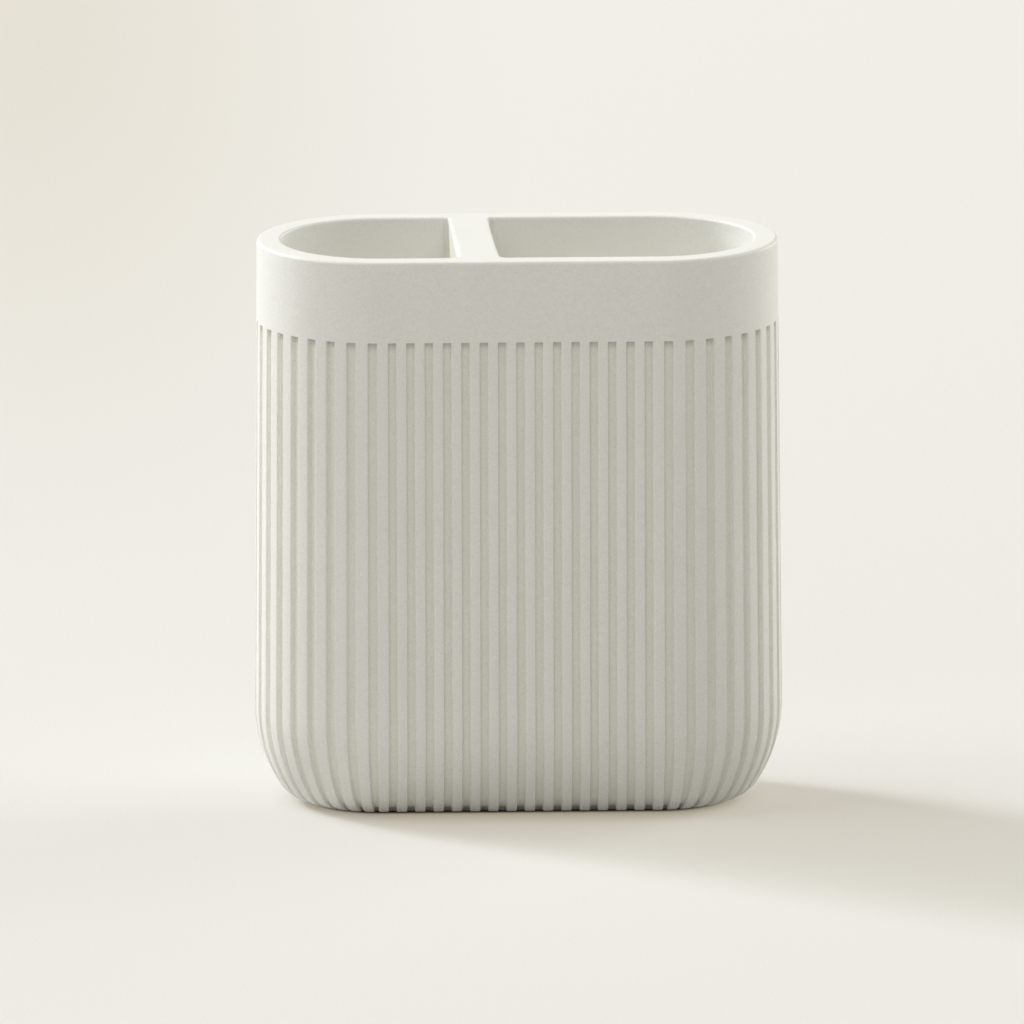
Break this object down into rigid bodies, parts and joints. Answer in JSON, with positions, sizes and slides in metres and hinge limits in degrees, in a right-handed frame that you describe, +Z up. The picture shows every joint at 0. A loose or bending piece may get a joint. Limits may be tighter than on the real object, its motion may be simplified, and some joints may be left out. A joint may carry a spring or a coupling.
{
  "type": "toothbrush holder",
  "caption": "Free-standing toothbrush holder: a fluted cast cup with a stadium plan, a smooth rim band and a divider that makes two compartments.",
  "frame": {"origin": "on the table, midway along the cup and midway from front to back", "axes": "+Z up, +X along the cup to the right seen from the front, -Y to the front"},
  "size_m": [0.1106, 0.0532, 0.12],
  "materials": {
    "cast_body": "matte, unglazed, off-white, with a very fine grain",
    "pad": "matte, soft, non-slip"
  },
  "bodies": {
    "root": {"cup": "cast_body", "divider": "cast_body", "pad_front_left": "pad", "pad_front_right": "pad", "pad_back_left": "pad", "pad_back_right": "pad"}
  },
  "joints": []
}
